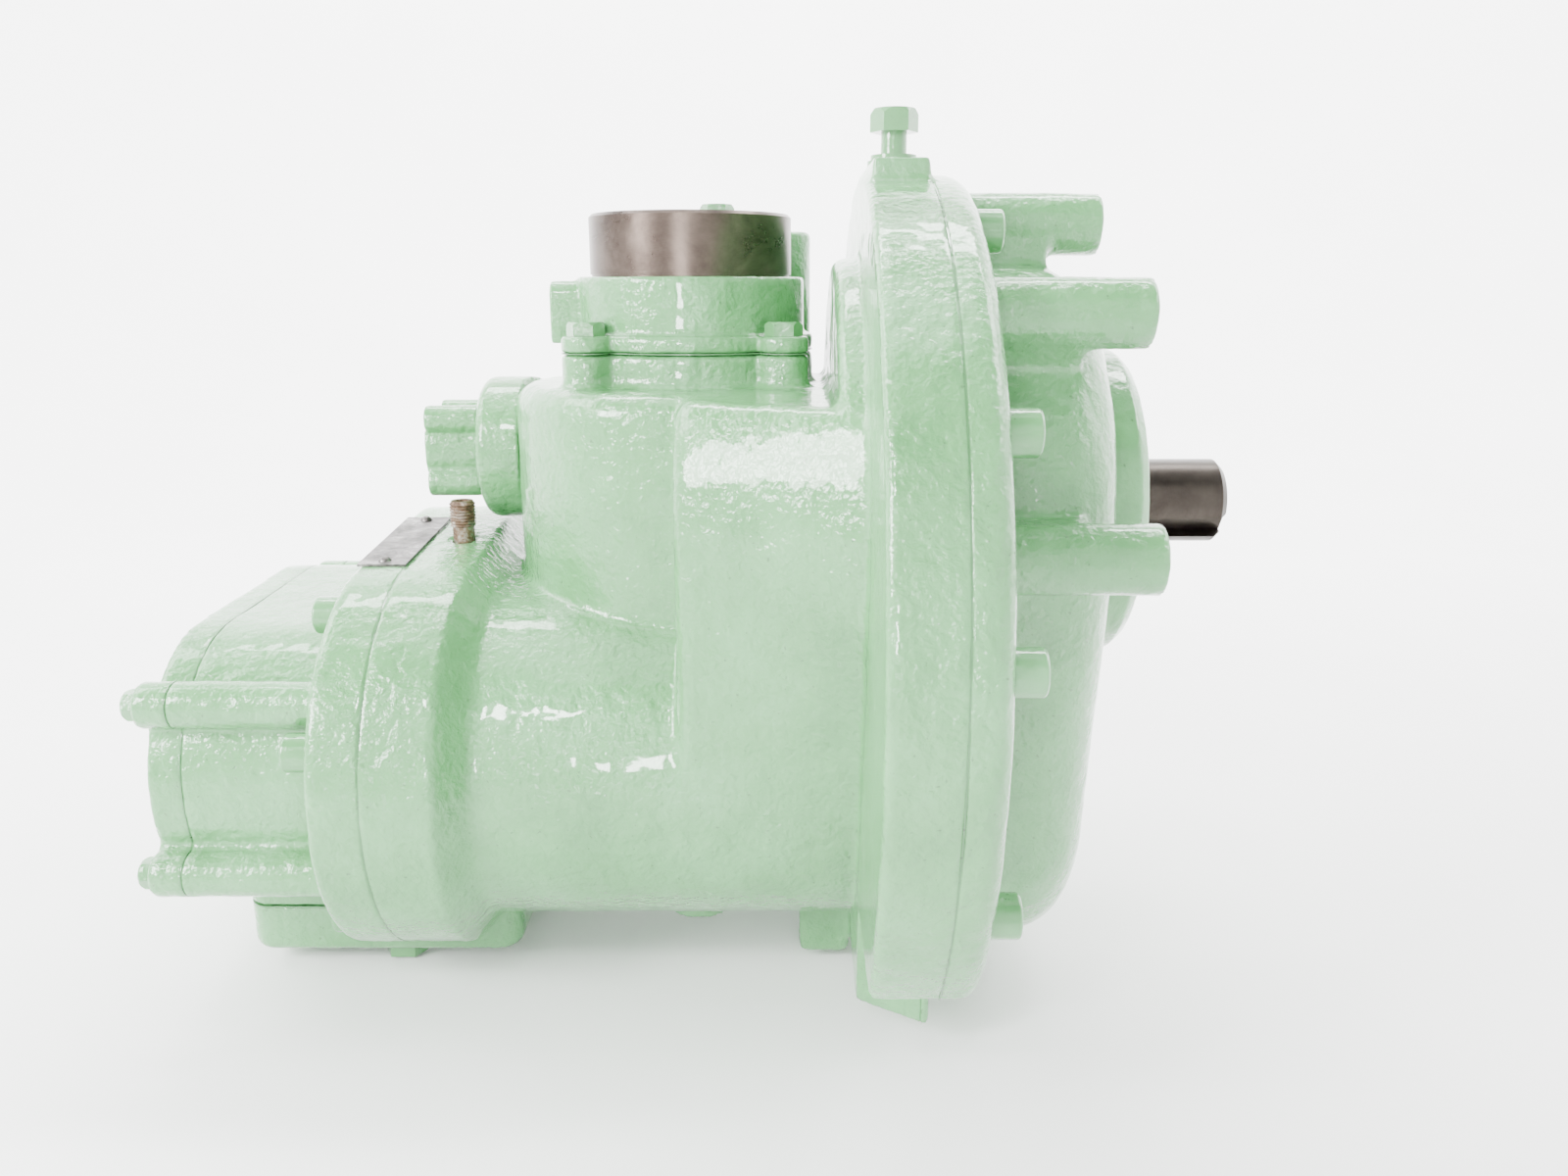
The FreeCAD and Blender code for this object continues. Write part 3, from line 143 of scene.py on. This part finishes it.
# ---- studio -------------------------------------------------------------
FLOOR_GAP = 0.5 * MM
FLOOR_FLAT_R = 1.5
FLOOR_RINGS = 6
BEND_R = 0.9
BEND_RINGS = 16
WALL_HEIGHT = 1.6
STAGE_SIDES = 96
STAGE_SHADES = (0.84, 0.88)
AIM = (-0.19, 0.0, -0.04)
LIGHTS = (                                                  # name, place, target, size, watts
    ("top_soft", (-0.35, -0.10, 1.40), AIM, (1.0, 0.9), 13),
    ("key_left", (-1.25, -0.80, 0.55), AIM, (0.40, 0.55), 44),
    ("window_front", (-0.36, -1.30, 0.10), AIM, (0.12, 0.14), 6.5),
    ("window_high", (-0.55, -1.00, 0.85), AIM, (0.12, 0.12), 6.0),
    ("right_soft", (1.2, -0.2, 0.6), AIM, (0.3, 0.6), 1.5),
    ("backdrop_wash", (-0.2, 0.9, 1.9), (-0.2, 2.3, 0.3), (2.2, 0.8), 230),
    ("floor_wash_left", (-1.7, 0.3, 1.3), (-1.3, 0.9, -0.3), (0.9, 0.9), 44),
    ("floor_wash_right", (1.3, 0.3, 1.3), (1.0, 0.9, -0.3), (0.9, 0.9), 40),
)
WORLD_STRENGTH = 0.28
CAMERA_PLACE = (-0.150, -0.569, 0.1023)
CAMERA_TILT = math.radians(75.52)
CAMERA_LENS = 27.0
CAMERA_SENSOR = 36.0
CAMERA_NEAR = 0.01


# ---- shader pieces ------------------------------------------------------
def new_material(name):
    material = bpy.data.materials.new(name)
    material.use_nodes = True
    tree = material.node_tree
    return material, tree, tree.nodes["Principled BSDF"]


def object_coordinates(tree, stretch=(1, 1, 1)):
    coordinates = tree.nodes.new("ShaderNodeTexCoord")
    mapping = tree.nodes.new("ShaderNodeMapping")
    mapping.inputs["Scale"].default_value = stretch
    tree.links.new(coordinates.outputs["Object"], mapping.inputs["Vector"])
    return mapping.outputs["Vector"]


def noise(tree, vector, scale, detail=3.0, roughness=0.55, distortion=0.0):
    node = tree.nodes.new("ShaderNodeTexNoise")
    node.inputs["Scale"].default_value = scale
    node.inputs["Detail"].default_value = detail
    node.inputs["Roughness"].default_value = roughness
    node.inputs["Distortion"].default_value = distortion
    tree.links.new(vector, node.inputs["Vector"])
    return node.outputs["Fac"]


def ramp(tree, value, stops):
    node = tree.nodes.new("ShaderNodeValToRGB")
    elements = node.color_ramp.elements
    while len(elements) < len(stops):
        elements.new(0.5)
    for element, (place, colour) in zip(elements, stops):
        element.position = place
        element.color = (*colour, 1.0)
    tree.links.new(value, node.inputs["Fac"])
    return node.outputs["Color"]


def grey(level):
    return (level, level, level)


def shaded(factor, colour):
    return tuple(factor * c for c in colour)


def mix_colour(tree, factor, first, second):
    """Blend of two colours; second is a plain colour."""
    node = tree.nodes.new("ShaderNodeMix")
    node.data_type = "RGBA"
    tree.links.new(factor, node.inputs[0])
    tree.links.new(first, node.inputs[6])
    node.inputs[7].default_value = (*second, 1.0)
    return node.outputs[2]


def scaled(tree, value, low, high):
    node = tree.nodes.new("ShaderNodeMapRange")
    node.inputs["To Min"].default_value = low
    node.inputs["To Max"].default_value = high
    tree.links.new(value, node.inputs["Value"])
    return node.outputs["Result"]


def add_bump(tree, bsdf, layers):
    """Chain of bumps; each layer is (height output, strength, distance in metres)."""
    normal = None
    for height, strength, distance in layers:
        node = tree.nodes.new("ShaderNodeBump")
        node.inputs["Strength"].default_value = strength
        node.inputs["Distance"].default_value = distance
        tree.links.new(height, node.inputs["Height"])
        if normal is not None:
            tree.links.new(normal, node.inputs["Normal"])
        normal = node.outputs["Normal"]
    tree.links.new(normal, bsdf.inputs["Normal"])


# ---- materials ----------------------------------------------------------
def paint_colour(tree, vector, tint, wear):
    """Uneven mint tone, under patches of grime and dark specks."""
    stops = [(0.32, PAINT_DEEP), (0.50, PAINT), (0.72, PAINT_PALE)]
    stops = [(place, shaded(tint, colour)) for place, colour in stops]
    colour = ramp(tree, noise(tree, vector, TONE_SCALE, 4.0, 0.6), stops)
    patches = noise(tree, vector, GRIME_SCALE, 8.0, 0.78)
    dust = ramp(tree, patches, [(0.60, grey(0.0)), (0.80, grey(0.42 * wear))])
    colour = mix_colour(tree, dust, colour, GRIME)
    dots = noise(tree, vector, SPECK_SCALE, 2.0, 0.5)
    specks = ramp(tree, dots, [(0.70, grey(0.0)), (0.735, grey(0.85 * wear))])
    return mix_colour(tree, specks, colour, SPECK)


def paint_material(name, lumps=1.0, tint=1.0, wear=0.5):
    """Thick gloss enamel brushed over rough castings, with orange peel, specks and a little grime."""
    material, tree, bsdf = new_material(name)
    vector = object_coordinates(tree)
    tree.links.new(paint_colour(tree, vector, tint, wear), bsdf.inputs["Base Color"])
    sheen = noise(tree, vector, SHEEN_SCALE, 4.0, 0.6)
    tree.links.new(scaled(tree, sheen, 0.10, 0.34), bsdf.inputs["Roughness"])
    bsdf.inputs["IOR"].default_value = PAINT_IOR
    bsdf.inputs["Coat Weight"].default_value = COAT_WEIGHT
    bsdf.inputs["Coat Roughness"].default_value = COAT_ROUGHNESS
    swell = noise(tree, vector, SWELL_SCALE, 2.0, 0.5, 0.3)
    brush = noise(tree, vector, BRUSH_SCALE, 3.0, 0.5, 0.5)
    peel = noise(tree, vector, PEEL_SCALE, 2.0, 0.45)
    layers = [(swell, 0.7 * lumps, 4.0 * MM), (brush, 0.7 * lumps, 1.8 * MM), (peel, 0.8 * lumps, 1.1 * MM)]
    add_bump(tree, bsdf, layers)
    return material


def bare_casting_material():
    """Unpainted, machined or oily insides of the castings."""
    material, tree, bsdf = new_material("bare_casting")
    vector = object_coordinates(tree)
    tone = noise(tree, vector, 60.0, 6.0, 0.65)
    colour = ramp(tree, tone, [(0.3, (0.10, 0.10, 0.095)), (0.7, (0.21, 0.20, 0.185))])
    tree.links.new(colour, bsdf.inputs["Base Color"])
    tree.links.new(scaled(tree, tone, 0.35, 0.6), bsdf.inputs["Roughness"])
    bsdf.inputs["Metallic"].default_value = 0.7
    add_bump(tree, bsdf, [(noise(tree, vector, 500.0, 4.0), 0.3, 0.3 * MM)])
    return material


def steel_material(name, dark, bright, stretch, rough=(0.18, 0.42), grain=0.12, scale=30.0):
    """Turned or ground steel: fine grain along one direction and a patchy tint."""
    material, tree, bsdf = new_material(name)
    vector = object_coordinates(tree)
    lines = object_coordinates(tree, stretch)
    patches = noise(tree, vector, scale, 6.0, 0.68, 0.4)
    fine = noise(tree, lines, 90.0, 3.0, 0.6)
    colour = ramp(tree, patches, [(0.33, dark), (0.66, bright)])
    streaks = scaled(tree, fine, 0.0, 0.45)
    colour = mix_colour(tree, streaks, colour, shaded(1.25, bright))
    tree.links.new(colour, bsdf.inputs["Base Color"])
    bsdf.inputs["Metallic"].default_value = 1.0
    tree.links.new(scaled(tree, patches, *rough), bsdf.inputs["Roughness"])
    add_bump(tree, bsdf, [(fine, grain, 0.2 * MM), (patches, 0.08, 0.4 * MM)])
    return material


def rust_material(name):
    material, tree, bsdf = new_material(name)
    vector = object_coordinates(tree)
    patches = noise(tree, vector, 160.0, 7.0, 0.7, 0.6)
    stops = [(0.36, (0.055, 0.030, 0.018)), (0.50, (0.17, 0.105, 0.065)), (0.62, (0.36, 0.33, 0.29))]
    bare = ramp(tree, patches, [(0.45, grey(0.35)), (0.60, grey(0.95))])
    rough = ramp(tree, patches, [(0.40, grey(0.75)), (0.62, grey(0.30))])
    tree.links.new(ramp(tree, patches, stops), bsdf.inputs["Base Color"])
    tree.links.new(bare, bsdf.inputs["Metallic"])
    tree.links.new(rough, bsdf.inputs["Roughness"])
    add_bump(tree, bsdf, [(patches, 0.35, 0.3 * MM)])
    return material


def plate_material():
    """Blank brushed plate, stained and scuffed."""
    material, tree, bsdf = new_material("plate_brushed")
    vector = object_coordinates(tree)
    lines = object_coordinates(tree, (1.0, 12.0, 12.0))
    stains = noise(tree, vector, 90.0, 7.0, 0.7, 0.5)
    fine = noise(tree, lines, 220.0, 3.0, 0.6)
    stops = [(0.38, (0.045, 0.040, 0.037)), (0.55, (0.15, 0.14, 0.135)), (0.68, (0.40, 0.39, 0.38))]
    tree.links.new(ramp(tree, stains, stops), bsdf.inputs["Base Color"])
    bsdf.inputs["Metallic"].default_value = 0.85
    tree.links.new(scaled(tree, stains, 0.55, 0.25), bsdf.inputs["Roughness"])
    add_bump(tree, bsdf, [(fine, 0.12, 0.1 * MM)])
    return material


def rubber_material(name, colour, rough):
    material, tree, bsdf = new_material(name)
    vector = object_coordinates(tree)
    grainy = noise(tree, vector, 420.0, 4.0, 0.6)
    shades = ramp(tree, grainy, [(0.3, shaded(0.75, colour)), (0.7, shaded(1.2, colour))])
    tree.links.new(shades, bsdf.inputs["Base Color"])
    tree.links.new(scaled(tree, grainy, rough - 0.1, rough + 0.1), bsdf.inputs["Roughness"])
    add_bump(tree, bsdf, [(grainy, 0.25, 0.2 * MM)])
    return material


MATERIALS = {
    "paint": paint_material("enamel_casting"),
    "paint_smooth": paint_material("enamel_machined", lumps=0.45),
    "paint_screw": paint_material("enamel_screws", lumps=0.35, tint=0.95, wear=0.9),
    "joint": paint_material("enamel_joint", lumps=0.3, tint=0.62, wear=1.0),
    "bare": bare_casting_material(),
    "spigot": steel_material("turned_brown_steel", (0.030, 0.021, 0.018), (0.110, 0.086, 0.072), (4, 4, 60),
                             rough=(0.20, 0.38), scale=34.0),
    "shaft": steel_material("oiled_shaft_steel", (0.022, 0.018, 0.015), (0.062, 0.053, 0.046), (60, 4, 4),
                            rough=(0.22, 0.42)),
    "stub": rust_material("rusty_thread"),
    "plate": plate_material(),
    "bearing": steel_material("bearing_steel", (0.50, 0.50, 0.51), (0.72, 0.72, 0.73), (40, 4, 4),
                              rough=(0.08, 0.2), grain=0.05),
    "rotor": steel_material("rotor_steel", (0.30, 0.30, 0.30), (0.55, 0.55, 0.56), (8, 30, 30),
                            rough=(0.18, 0.34)),
    "machined": steel_material("machined_steel", (0.28, 0.28, 0.28), (0.52, 0.52, 0.53), (40, 8, 8)),
    "brass": steel_material("cage_brass", (0.42, 0.28, 0.10), (0.72, 0.54, 0.24), (30, 8, 8)),
    "rubber": rubber_material("seal_rubber", (0.025, 0.025, 0.027), 0.6),
}
NODE_LOOK = {
    "inlet_spigot": "spigot", "input_shaft": "shaft", "threaded_stub": "stub",
    "nameplate": "plate", "nameplate_rivets": "plate", "input_seal": "rubber",
    "male_rotor": "rotor", "female_rotor": "rotor",
}
SLOT_LOOK = {
    "green_paint": "paint_screw", "gasket_sheet": "joint", "cage_brass": "brass",
    "bearing_steel": "bearing", "machined_steel": "machined",
}


def paint_nodes():
    """Gives every CAD node the look of its name or of its material slot."""
    slots = {part["node"]: part["material_slot"] for part in frame["record"]["subparts"]}
    for name, node in NODES.items():
        look = NODE_LOOK.get(name) or SLOT_LOOK.get(slots[name], "machined")
        node.data.materials.clear()
        node.data.materials.append(MATERIALS[look])


# ---- castings -----------------------------------------------------------
def link(obj):
    bpy.context.scene.collection.objects.link(obj)
    return obj


def joined_mesh(names):
    bm = bmesh.new()
    for name in names:
        bm.from_mesh(NODES[name].data)
    bmesh.ops.remove_doubles(bm, verts=bm.verts, dist=WELD_DISTANCE)
    mesh = bpy.data.meshes.new("joined")
    bm.to_mesh(mesh)
    bm.free()
    return mesh


def applied(obj, name):
    """New mesh object with the modifiers of obj applied."""
    depsgraph = bpy.context.evaluated_depsgraph_get()
    mesh = bpy.data.meshes.new_from_object(obj.evaluated_get(depsgraph))
    result = link(bpy.data.objects.new(name, mesh))
    bpy.data.objects.remove(obj)
    return result


def off_axis(point, axis, along):
    """Distance from a line through axis, along X ("x") or Z ("z")."""
    if along == "x":
        return math.hypot(point.y - axis.y, point.z - axis.z)
    return math.hypot(point.x - axis.x, point.y - axis.y)


def within(value, span):
    return span[0] < value < span[1]


def is_inside(p):
    """True for the hollows of the castings: rotor bores, bearing pockets, gear space and inlet."""
    shaft = off_axis(p, SHAFT_AXIS, "x")
    male = off_axis(p, MALE_AXIS, "x")
    female = off_axis(p, FEMALE_AXIS, "x")
    gear_side = GEAR_SPACE_HALF_WIDTH + GEAR_SPACE_TAPER * p.z
    between_gears = abs(p.y) < gear_side and MALE_AXIS.z < p.z < 0
    gear_space = shaft < BULL_SPACE_R or male < PINION_SPACE_R or between_gears
    return any((
        off_axis(p, INLET_AXIS, "z") < INLET_BORE and p.z > MALE_AXIS.z,
        within(p.x, ROTOR_BORE_SPAN) and (male < MALE_BORE or female < FEMALE_BORE),
        within(p.x, BEARING_POCKET_SPAN) and min(male, female) < BEARING_POCKET_R,
        within(p.x, REAR_POCKET_SPAN) and shaft < REAR_POCKET_R,
        within(p.x, GEAR_SPACE_SPAN) and gear_space,
        p.x > FRONT_POCKET_X and shaft < FRONT_POCKET_R,
    ))


def voxel_mesh(names, label, voxel):
    obj = link(bpy.data.objects.new(label + "_work", joined_mesh(names)))
    remesh = obj.modifiers.new("remesh", "REMESH")
    remesh.mode = "VOXEL"
    remesh.voxel_size = voxel
    remesh.adaptivity = 0.0
    return applied(obj, label + "_voxel")


def add_lumps(obj, label, size, height):
    """Cast-iron unevenness on the outside of a skin."""
    texture = bpy.data.textures.new(label + "_lumps", "CLOUDS")
    texture.noise_scale = size
    texture.noise_depth = 2
    displace = obj.modifiers.new("lumps", "DISPLACE")
    displace.texture = texture
    displace.texture_coords = "LOCAL"
    displace.mid_level = 0.5
    displace.strength = height
    displace.vertex_group = "outside"


def cast_skin(names, label, voxel, smoothing, lumps, hollow=True):
    """Castings as one soft-edged skin: remeshed, rounded, and slightly uneven outside."""
    obj = voxel_mesh(names, label, voxel)
    outside = obj.vertex_groups.new(name="outside")
    chosen = [v.index for v in obj.data.vertices if not (hollow and is_inside(v.co))]
    outside.add(chosen, 1.0, "REPLACE")
    smooth = obj.modifiers.new("smooth", "SMOOTH")
    smooth.factor = 0.5
    smooth.iterations = smoothing
    smooth.vertex_group = "outside"
    for size, height in lumps:
        add_lumps(obj, label, size, height)
    return applied(obj, label)


def finish_casting(obj, node, look="paint", hollow=True):
    """Paint outside, bare metal in the hollows, in place of the CAD node."""
    mesh = obj.data
    mesh.materials.clear()
    mesh.materials.append(MATERIALS[look])
    mesh.materials.append(MATERIALS["bare"])
    for polygon in mesh.polygons:
        polygon.use_smooth = True
        polygon.material_index = 1 if hollow and is_inside(polygon.center) else 0
    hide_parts(node)
    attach(obj, HOUSING)


def sink_rim(edges):
    """Pulls the outer rim of a cut inwards, so that two pieces meet in a fine groove."""
    for vert in {v for edge in edges for v in edge.verts}:
        normal = Vector((0, vert.normal.y, vert.normal.z))
        if normal.length > GROOVE_MIN_SLOPE and not is_inside(vert.co):
            vert.co -= normal.normalized() * GROOVE_DEPTH


def slice_between(source, name, x_low, x_high):
    """The part of a skin between two joint planes, closed at its cuts."""
    bm = bmesh.new()
    bm.from_mesh(source.data)
    for x, side in ((x_low, 1), (x_high, -1)):
        if x is None:
            continue
        everything = bm.verts[:] + bm.edges[:] + bm.faces[:]
        cut = bmesh.ops.bisect_plane(bm, geom=everything, dist=CUT_TOLERANCE, plane_co=(x, 0, 0),
                                     plane_no=(-side, 0, 0), clear_outer=True)
        edges = [e for e in cut["geom_cut"] if isinstance(e, bmesh.types.BMEdge)]
        bm.normal_update()
        sink_rim(edges)
        bmesh.ops.triangle_fill(bm, use_beauty=True, edges=edges)
    bmesh.ops.recalc_face_normals(bm, faces=bm.faces)
    mesh = bpy.data.meshes.new(name)
    bm.to_mesh(mesh)
    bm.free()
    return link(bpy.data.objects.new(name, mesh))


def build_castings():
    """Main body castings share one skin, so that they meet flush at their joints."""
    skin = cast_skin(BODY_NODES, "body_skin", BODY_VOXEL, BODY_SMOOTHING, BODY_LUMPS)
    case_x = middle_of(CASE_GASKET).x
    rotor_x = middle_of(ROTOR_GASKET).x
    end_x = middle_of(END_GASKET).x
    pieces = (("end_cover", None, end_x), ("discharge_housing", end_x, rotor_x),
              ("main_housing", rotor_x, case_x), ("gear_cover", case_x, None))
    for node, x_low, x_high in pieces:
        piece = slice_between(skin, node + "_cast", x_low, x_high)
        finish_casting(piece, node)
    bpy.data.objects.remove(skin)


def build_small_castings():
    for node, smoothing, look in SMALL_CASTINGS:
        piece = cast_skin([node], node + "_cast", SMALL_VOXEL, smoothing, SMALL_LUMPS, hollow=False)
        finish_casting(piece, node, look, hollow=False)


# ---- studio -------------------------------------------------------------
def stage_profile(floor_z):
    """(radius, height) points of the floor, its bend and the wall."""
    profile = [(FLOOR_FLAT_R * step / FLOOR_RINGS, floor_z) for step in range(1, FLOOR_RINGS + 1)]
    for step in range(1, BEND_RINGS + 1):
        angle = math.pi / 2 * step / BEND_RINGS
        profile.append((FLOOR_FLAT_R + BEND_R * math.sin(angle), floor_z + BEND_R * (1 - math.cos(angle))))
    profile.append((FLOOR_FLAT_R + BEND_R, floor_z + BEND_R + WALL_HEIGHT))
    return profile


def stage_mesh():
    """The profile turned about an upright line through the middle of the object."""
    floor_z = CAD_BOX[0][2] - FLOOR_GAP
    centre = (CAD_BOX[0][0] + CAD_BOX[1][0]) / 2
    profile = stage_profile(floor_z)
    points = [(centre, 0.0, floor_z)]
    for radius, z in profile:
        for k in range(STAGE_SIDES):
            angle = 2 * math.pi * k / STAGE_SIDES
            points.append((centre + radius * math.cos(angle), radius * math.sin(angle), z))
    faces = [(0, 1 + k, 1 + (k + 1) % STAGE_SIDES) for k in range(STAGE_SIDES)]
    for ring in range(len(profile) - 1):
        low = 1 + ring * STAGE_SIDES
        high = low + STAGE_SIDES
        for k in range(STAGE_SIDES):
            after = (k + 1) % STAGE_SIDES
            faces.append((low + k, high + k, high + after, low + after))
    mesh = bpy.data.meshes.new("floor")
    mesh.from_pydata(points, [], faces)
    mesh.polygons.foreach_set("use_smooth", [True] * len(mesh.polygons))
    return mesh


def build_stage():
    """Round pale floor that sweeps up into a backdrop on every side."""
    mesh = stage_mesh()
    floor = link(bpy.data.objects.new("floor", mesh))
    material, tree, bsdf = new_material("pale_floor")
    vector = object_coordinates(tree)
    low, high = STAGE_SHADES
    shades = ramp(tree, noise(tree, vector, 3.0), [(0.3, grey(low)), (0.7, grey(high))])
    tree.links.new(shades, bsdf.inputs["Base Color"])
    bsdf.inputs["Roughness"].default_value = 0.9
    mesh.materials.append(material)


def area_light(name, place, target, size, power):
    light = bpy.data.lights.new(name, "AREA")
    light.shape = "RECTANGLE"
    light.size = size[0]
    light.size_y = size[1]
    light.energy = power
    lamp = link(bpy.data.objects.new(name, light))
    lamp.location = place
    lamp.rotation_euler = (Vector(target) - Vector(place)).to_track_quat("-Z", "Y").to_euler()


def build_lights():
    """Soft key from the left, two small windows for the glints, and washes on the backdrop."""
    for row in LIGHTS:
        area_light(*row)
    world = bpy.data.worlds.new("studio")
    world.use_nodes = True
    background = world.node_tree.nodes["Background"]
    background.inputs["Color"].default_value = (1.0, 1.0, 1.0, 1.0)
    background.inputs["Strength"].default_value = WORLD_STRENGTH
    bpy.context.scene.world = world


def build_camera():
    camera = bpy.data.cameras.new("camera")
    camera.sensor_width = CAMERA_SENSOR
    camera.lens = CAMERA_LENS
    camera.clip_start = CAMERA_NEAR
    view = link(bpy.data.objects.new("camera", camera))
    view.location = CAMERA_PLACE
    view.rotation_euler = (CAMERA_TILT, 0.0, 0.0)
    bpy.context.scene.camera = view


paint_nodes()
build_castings()
build_small_castings()
build_stage()
build_lights()
build_camera()
